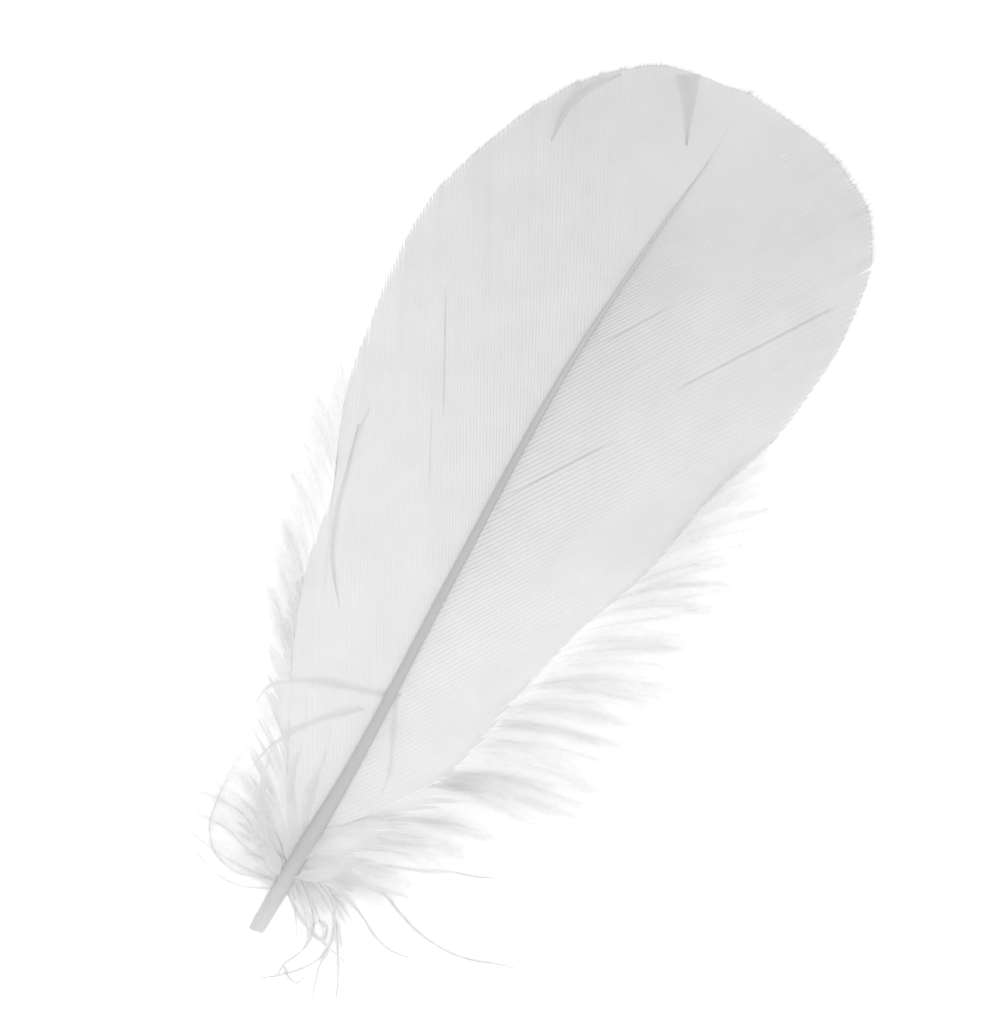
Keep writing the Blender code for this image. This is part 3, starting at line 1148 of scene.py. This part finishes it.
    @staticmethod
    def turned(vectors: np.ndarray, angle: np.ndarray) -> np.ndarray:
        """Turns vectors round the upright axis.

        Args:
            vectors: the vectors.
            angle: an angle for each, in radians.

        Returns:
            The turned vectors.
        """
        x, y, z = np.moveaxis(vectors, -1, 0)
        cos, sin = np.cos(angle), np.sin(angle)
        return np.stack((x * cos - y * sin, x * sin + y * cos, z), -1)


@dataclass(kw_only=True)
class Strays(Loose):
    """Single loose barbs, each along a given line."""

    # Each line's points: across, along and height.
    lines: tuple[Rows, ...]
    steps: int = 40
    # The vane's left and right sides, if the heights are those over the vane.
    vane: tuple[Vane, ...] = ()

    def paths(self) -> np.ndarray:
        """Works out where the barbs run.

        Returns:
            Points of the plan, by barb and by place along it.
        """
        paths = np.stack([through(line, self.steps) for line in self.lines])
        if self.vane:
            left, right = (side.height_at(paths) for side in self.vane)
            paths[..., 2] += np.where(paths[..., 0] < 0, left, right)
        return paths


@dataclass
class Studio:
    """A lit white table, soft light all round, and a camera straight above."""

    plan: Plan
    # The photograph's scale, and the pixel where the quill's cut end lies.
    mm_per_pixel: float = 0.125
    cut_end_pixel: tuple[float, float] = (256.0, 930.0)
    # The feather's line leans this far clockwise from upright in the picture, in degrees.
    lean: float = 30.5
    lens: float = 100.0
    sensor: float = 36.0
    eye_height: float = 1.0
    table: float = 6.0
    table_glow: float = 0.3
    sky: float = 0.92
    lamp_power: float = 2.2
    lamp_size: float = 0.35
    lamp_distance: float = 0.9
    # Degrees round from the picture's right, and above the table.
    lamp_round: float = 250.0
    lamp_up: float = 26.0

    def build(self) -> None:
        """Makes the table, the lights and the camera."""
        self.add_table()
        self.add_lights()
        self.add_camera()

    def add_table(self) -> None:
        """Makes the pale table top, which glows a little so that the picture's ground is white."""
        mesh = bmesh.new()
        bmesh.ops.create_grid(mesh, x_segments=1, y_segments=1, size=self.table / 2)
        data = bpy.data.meshes.new("table")
        mesh.to_mesh(data)
        mesh.free()
        table = placed("table", data)
        material = blank("white acrylic, cast and lit from below")
        shader = add_node(
            material, "BsdfPrincipled",
            {
                "Base Color": linear("#F4F4F4"), "Roughness": 0.7, "Emission Color": linear("#FFFFFF"),
                "Emission Strength": self.table_glow,
            },
        )
        add_node(material, "OutputMaterial", Surface=shader.outputs["BSDF"])
        data.materials.append(material)

    def add_lights(self) -> None:
        """Makes an even sky and one soft lamp low on the picture's lower left."""
        world = bpy.data.worlds.new("studio")
        bpy.context.scene.world = world
        world.use_nodes = True
        sky = world.node_tree.nodes["Background"]
        sky.inputs["Color"].default_value = linear("#FFFFFF")
        sky.inputs["Strength"].default_value = self.sky
        lamp = bpy.data.lights.new("soft lamp", "AREA")
        lamp.shape = "DISK"
        lamp.size = self.lamp_size
        lamp.energy = self.lamp_power
        made = bpy.data.objects.new("soft lamp", lamp)
        bpy.context.scene.collection.objects.link(made)
        turn, up = math.radians(self.lamp_round + self.lean), math.radians(self.lamp_up)
        towards = Vector((math.cos(turn) * math.cos(up), math.sin(turn) * math.cos(up), math.sin(up)))
        made.location = towards * self.lamp_distance
        made.rotation_euler = towards.to_track_quat("Z", "Y").to_euler()

    def add_camera(self) -> None:
        """Makes the camera, so that the feather lies in the picture as it does in the photograph."""
        camera = bpy.data.cameras.new("camera")
        camera.sensor_width = self.sensor
        camera.lens = self.lens
        lean = math.radians(self.lean)
        right = (PHOTO_SIZE[0] / 2 - self.cut_end_pixel[0]) * self.mm_per_pixel
        up = (self.cut_end_pixel[1] - PHOTO_SIZE[1] / 2) * self.mm_per_pixel
        across = right * math.cos(lean) - up * math.sin(lean)
        along = right * math.sin(lean) + up * math.cos(lean)
        height = max(PHOTO_SIZE) * self.mm_per_pixel * self.lens / self.sensor + self.eye_height
        made = bpy.data.objects.new("camera", camera)
        bpy.context.scene.collection.objects.link(made)
        made.location = self.plan.in_frame(np.array((across, along, height)))
        made.rotation_euler = (0.0, 0.0, lean)
        bpy.context.scene.camera = made
        bpy.context.scene.view_settings.view_transform = "Standard"


LEFT_DOWN: Rows = (
    (20, 0.97, -27.2, 71, 0.5), (18.5, 0.96, -28.8, 67, 0.4), (17, 0.95, -29.2, 62, 1.2),
    (15.6, 0.95, -27.6, 56.5, 0.5), (14.2, 0.95, -25.4, 50, 1.4), (12.6, 0.95, -23.4, 43.5, 0.4),
    (10.8, 0.95, -20.8, 35.5, 1.6), (9.4, 0.80, -19, 28, 0.4), (9.2, 0.30, -18, 21, 1.6),
    (8.4, 0, -17.2, 13.5, 0.4), (7, 0, -13.5, 5, 0.6),
)
RIGHT_DOWN: Rows = (
    (39, 0.98, 27, 88, 0.4), (34, 0.97, 29.5, 82, 1), (29, 0.96, 31.5, 74.5, 0.4),
    (25, 0.95, 32.5, 65, 1.6), (21, 0.93, 32.8, 56, 0.4), (18, 0.90, 32.6, 47.5, 1.8),
    (16, 0.82, 33.2, 40.5, 0.4), (14, 0.50, 33.4, 34, 1.6), (14, 0.25, 30.4, 27, 0.4),
    (13, 0, 25.4, 20, 1.8), (11, 0, 20, 13.5, 0.4), (8, 0, 14, 6.5, 0.8),
)
LEFT_FOOT: Rows = (
    (14, 1, -19.5, 44.5, 1.6), (12.2, 1, -19.2, 38, 1.4), (10.5, 1, -17.8, 32.5, 1.4),
    (9.2, 0.85, -16.2, 27, 1.2), (9.2, 0.35, -14.4, 21.5, 1.2), (8.4, 0, -12.8, 16.5, 1),
    (7.6, 0, -11, 11.8, 1), (6.8, 0, -10.6, 7.2, 0.8), (5.6, 0, -7.6, 3.6, 0.8),
)
RIGHT_FOOT: Rows = (
    (14, 0.9, 17.5, 31.5, 1.6), (14, 0.4, 19.5, 28, 1.4), (13.6, 0, 20, 24.5, 1.4),
    (12, 0, 18.5, 20.5, 1.2), (10.4, 0, 14.6, 15, 1.2), (9, 0, 11, 9.4, 1), (7.6, 0, 9.4, 5.2, 0.9),
    (5.8, 0, 6.6, 1.8, 0.8),
)
STRAY_LINES: tuple[Rows, ...] = (
    ((0.6, 9, 1.8), (3.2, 7.3, 2.2), (5.2, 5.4, 2.4), (6.2, 3.3, 2.2), (6.2, 0.7, 1.6), (5.2, -1.8, 1),
     (5.2, -3.8, 0.5)),
    ((0.8, 10.2, 1.9), (6.1, 8.3, 2.8), (7.8, 6.2, 3.2), (8.8, 3.7, 2.8), (8.6, 1.1, 2), (7.2, -1.4, 1.2),
     (5, -3.8, 0.6), (3, -5.4, 0.4)),
    ((0.8, 6.2, 1.6), (4.3, 4.1, 1.5), (6.7, 3.3, 1.3), (9.4, 2.6, 0.9), (11.6, 2.1, 0.5)),
    ((8.8, 3.4, 2.4), (8.9, 2.2, 2.2), (9.2, -0.2, 1.6), (9.9, -2.5, 1), (10.4, -4.3, 0.4)),
    ((7.6, 6.8, 2.6), (9.2, 4.5, 2.4), (10.8, 1.9, 1.6), (12.1, -0.4, 1), (13, -2.4, 0.4)),
    ((5.3, -2.1, 0.9), (6.4, -3, 0.8), (7.7, -3.2, 0.7), (8.2, -2, 0.5)),
    ((6.1, 5.2, 2.3), (7.5, 4.9, 2.4), (7.8, 3.5, 2.3), (6.6, 3.2, 2.2), (5.8, 4.2, 2.2), (6.2, 5.3, 2.3)),
    ((5.6, 11.6, 0.2), (11.2, 12, 0.9), (13.9, 11.2, 1.6), (17.6, 10.1, 1.2), (21.6, 9.8, 0.9),
     (25.1, 10.4, 0.7), (28.2, 11.6, 0.5), (31.6, 12.6, 0.4)),
    ((4.6, 10.2, 0.2), (10.2, 8.4, 1.2), (13, 7, 1.2), (15.7, 6.3, 0.8), (18.5, 6.7, 0.4)),
    ((8.8, 14.6, 0.2), (14.3, 17, 1.2), (17.2, 18.6, 1.2), (20.4, 19.7, 0.8), (23, 21, 0.4)),
)
# Softer ones with cottony barbules: those left of the quill, then a column of them right of it.
WISP_LINES: tuple[Rows, ...] = (
    ((-0.8, 7, 1.5), (-5.5, 5.2, 2), (-9.4, 6, 2.2), (-11.6, 8.5, 2.2), (-12.4, 11.8, 2),
     (-12.8, 15.8, 1.6), (-12.7, 20.3, 1)),
    ((-0.8, 6.8, 1.4), (-3.8, 6.2, 1.8), (-6.7, 6, 1.8), (-10.6, 6.1, 1.4), (-14.7, 6.7, 0.8),
     (-16.8, 6.3, 0.4)),
    ((-0.8, 9.6, 1.8), (-4.9, 10.1, 2.2), (-8.6, 11.8, 2.2), (-12.4, 11.8, 1.4), (-14.8, 11.3, 0.6)),
    ((-0.8, 5.6, 1.2), (-4.6, 3.8, 1.4), (-8.4, 3.6, 1.2), (-11.4, 4.6, 0.9), (-13.8, 4.4, 0.5)),
    ((-0.8, 8.4, 1.6), (-5.2, 8.2, 2), (-9.6, 9.2, 1.8), (-13, 9, 1.2), (-15.8, 9.8, 0.6)),
    ((1, 8.6, 1.4), (4.2, 6.8, 2), (6.8, 4.8, 2.2), (8.8, 2.6, 1.8), (10, 0.8, 1)),
    ((1, 7.8, 1.3), (3.4, 5.8, 1.8), (5.4, 3.6, 2), (6.8, 1.2, 1.6), (7.6, -1.4, 0.8)),
    ((1, 9.2, 1.5), (5.4, 7.8, 2.2), (8.4, 5.8, 2.2), (10.4, 3.6, 1.6), (12, 1.4, 0.8)),
    ((1, 7.2, 1.2), (3, 4.6, 1.6), (4.6, 2.2, 1.4), (5.6, -0.6, 0.9)),
)
# Tissue from the quill's foot that lies over the vane, with its heights over it.
VEIL_LINES: tuple[Rows, ...] = (
    ((-0.8, 7.6, 0.3), (-4.8, 10.6, 0.3), (-8.2, 15.6, 0.25), (-10.2, 21.5, 0.2), (-12.4, 26, 0.1)),
    ((-0.7, 9.2, 0.3), (-2.6, 13.8, 0.3), (-5.8, 18.6, 0.25), (-7, 24, 0.2), (-9.6, 29, 0.1)),
    ((-0.2, 11.6, 0.1), (-2.6, 17.6, 0.2), (-3.6, 23.4, 0.2), (-5.4, 28.6, 0.1)),
    ((0.8, 8.4, 0.3), (4.4, 11.2, 0.3), (7.2, 14.6, 0.2), (10.6, 17.2, 0.1)),
    ((0.7, 11.2, 0.3), (2.2, 15.6, 0.3), (5.2, 19.4, 0.2), (6.4, 24.4, 0.1)),
)
# Loose barbs that lie across the vane near its foot, with their heights over it.
ARC_LINES: tuple[Rows, ...] = (
    ((0.8, 34.8, 0.1), (-2.8, 33.1, 0.15), (-7.9, 31.3, 0.2), (-11.4, 29.5, 0.2), (-13.9, 27.4, 0.2),
     (-14.5, 24.4, 0.1)),
    ((-2.2, 31, 0.1), (-3.8, 29.6, 0.15), (-6.2, 27.1, 0.2), (-8.7, 23.6, 0.2), (-10.2, 20.4, 0.3),
     (-10.7, 17.4, 0.2)),
    ((0.1, 34.9, 0.1), (1.6, 31.5, 0.15), (3.3, 28, 0.15), (4.5, 25.2, 0.15), (4.9, 22.4, 0.1)),
)
LEFT_SPLITS = (
    Split(47.0, 0.42, 0.75, -0.7),
    Split(43.7, 0.3, 0.52, -0.6),
    Split(25.7, 0.36, 0.55, 0.3),
    Split(77.5, 0.42, 0.78, 0.1),
    Split(35.0, 0.9, 1.1, 0.5),
    Split(25.0, 0.9, 1.1, 0.6),
    Split(11.2, 0.62, 0.9, 0.5, 0.9),
    Split(107.0, 0.76, 1.1, 0.12, 0.5),
    Split(105.4, 0.82, 1.1, 0.12, 0.5),
)
RIGHT_SPLITS = (
    Split(60.3, 0.05, 0.34, -0.7),
    Split(81.6, 0.1, 0.34, -0.6),
    Split(64.0, 0.46, 0.94, -0.7),
    Split(101.0, 0.74, 0.86, 0.4, 0.8),
    Split(98.8, 0.72, 0.84, 0.4, 0.8),
    Split(68.0, 0.93, 1.1, 0.5),
)
LEFT_FLAPS = (
    Flap(((-3.4, 111.6, 0.15), (-5.5, 115.6, 1.3), (-7.8, 119.6, 2.9)), 6),
    Flap(((-18.2, 103.6, 0.15), (-18.8, 107.5, 0.9), (-18.4, 110.2, 1.1), (-17.2, 112.8, 0.9),
          (-15, 115.4, 0.15)), 3),
    Flap(((-21.0, 61.0, 0.1), (-19.2, 55.5, 0.45), (-17.8, 50.5, 0.6), (-15.4, 45.2, 0.45),
          (-11.4, 40.2, 0.1)), 2),
    Flap(((-20.8, 63.5, 0.05), (-20.3, 59.5, 0.3), (-19.6, 56.0, 0.1)), 1, 0.2),
)
# Kinds of down, with the white of each.
DOWN_WHITES = (("matted down", "#F1F1F1"), ("loose barbs", "#FAFAFA"), ("downy barbules", "#FDFDFD"))


def main() -> None:
    """Builds the feather piece by piece, then the studio round it."""
    logging.basicConfig(level=logging.INFO, format="%(message)s")
    plan = Plan()
    # The vane's tip colour is darker than its foot's: painted shade towards the tip.
    vane = BarbKeratin("closed vane of white keratin barbs, grown", "#EFEFEF", "#E6E6E6").make(plan)
    # A lighter copy of the vane's keratin, painted light against the shade of the second layer where the
    # folds and the arcs lie over the vane.
    fold_painted_lighter = BarbKeratin("folded vane of white keratin barbs, grown", "#F0F0F0", "#EEEEEE").make(plan)
    fleece, barbs, fluff = (
        BarbKeratin(f"{kind} of white keratin, grown", white, white, barbule_depth=0.0).make(plan)
        for kind, white in DOWN_WHITES
    )
    left = Vane(
        name="vane_left", side=Side.LEFT, plan=plan, seed=11, splits=LEFT_SPLITS, flaps=LEFT_FLAPS,
        first_root=9.2, web_share=0.502, web_drop=(0.008, 0.002), barb_radius=(0.014, 0.008),
        fringe_length=(0.3, 1.4),
        web_end=Track(((9.0, 1.6, 0.2), (31.0, 1.5, 0.3), (50.0, 0.8, 0.75), (111.0, 0.4, 0.95))),
    )
    right = Vane(name="vane_right", side=Side.RIGHT, plan=plan, seed=12, splits=RIGHT_SPLITS)
    side = {"plan": plan, "bare": 0.1, "inner": 0.78, "barbule_pitch": 0.062, "opening": (12.0, 66.0)}
    full = side | {"bare": 0.03, "inner": 0.98}
    foot = {
        "plan": plan, "bare": 0.35, "radius": 0.012, "opening": (15.0, 70.0), "gathered": 0.3,
        "reach": (0.6, 1.12), "barbule_width": 0.016,
    }
    tissue = {
        "plan": plan, "radius": 0.008, "film": 1.5, "film_reach": 0.68, "kin": 7, "rise": (0.1, 0.7),
        "wave": 0.12, "spread": 0.6, "gathered": 0.15, "barbule_pitch": 0.13, "barbule_length": (0.9, 2.4),
        "opening": (15.0, 75.0), "inner": 0.9, "bare": 0.4, "reach": (0.7, 1.15),
    }
    loose = [
        Down(name="down_left_side", side=Side.LEFT, seed=21, rows=LEFT_DOWN[:7], strands=84, clumps=20,
             crowding=0.62, foot_root=9.2, turn=(-4.0, 22.0), **side),
        Down(name="down_left_foot", side=Side.LEFT, seed=22, rows=LEFT_DOWN[6:], strands=36, clumps=10,
             foot_root=9.2, **foot),
        Down(name="down_right_high", side=Side.RIGHT, seed=24, rows=RIGHT_DOWN[:6], strands=68, clumps=30,
             crowding=0.84, **side),
        Down(name="down_right_middle", side=Side.RIGHT, seed=25, rows=RIGHT_DOWN[5:9], strands=49,
             clumps=14, **full),
        Down(name="down_right_foot", side=Side.RIGHT, seed=26, rows=RIGHT_DOWN[8:], strands=31, clumps=9,
             **foot),
    ]
    matted = [
        Down(name="down_left_root", side=Side.LEFT, seed=23, rows=LEFT_FOOT, strands=48, clumps=9,
             foot_root=9.2, **tissue),
        Down(name="down_right_root", side=Side.RIGHT, seed=27, rows=RIGHT_FOOT, strands=44, clumps=8,
             **tissue),
        Strays(name="strays", plan=plan, seed=31, lines=STRAY_LINES, radius=0.05, taper=0.5, film=0.34,
               barbule_pitch=0.04, barbule_length=(0.4, 1.1), barbule_width=0.024),
        Strays(name="wisps", plan=plan, seed=33, lines=WISP_LINES, radius=0.012, taper=0.5, film=0.16,
               film_reach=0.8, barbule_pitch=0.014, barbule_length=(0.9, 2.8), barbule_width=0.015,
               opening=(20.0, 80.0)),
    ]
    arcs = Strays(
        name="arcs", plan=plan, seed=32, lines=ARC_LINES, radius=0.015, taper=0.4, film=0.4,
        vane=(left, right), barbule_pitch=0.16, barbule_length=(0.5, 1.2), barbule_width=0.014,
    )
    veil = Strays(
        name="veil", plan=plan, seed=34, lines=VEIL_LINES, radius=0.008, taper=0.5, film=0.75, film_reach=0.7,
        vane=(left, right), barbule_pitch=0.13, barbule_length=(0.8, 2.4), barbule_width=0.014,
        opening=(15.0, 70.0),
    )
    pieces = [
        Quill(plan).build(QuillKeratin().make(plan)),
        left.build(vane),
        left.build_folds(fold_painted_lighter),
        right.build(vane),
        *(part.build(barbs, fluff) for part in loose),
        *(part.build(fleece, fluff) for part in matted),
        veil.build(fleece, fluff),
        arcs.build(fold_painted_lighter, fluff),
    ]
    for piece in pieces:
        logging.info("%s: %d faces", piece.name, len(piece.data.polygons))
    Studio(plan).build()


if __name__ == "__main__":
    main()
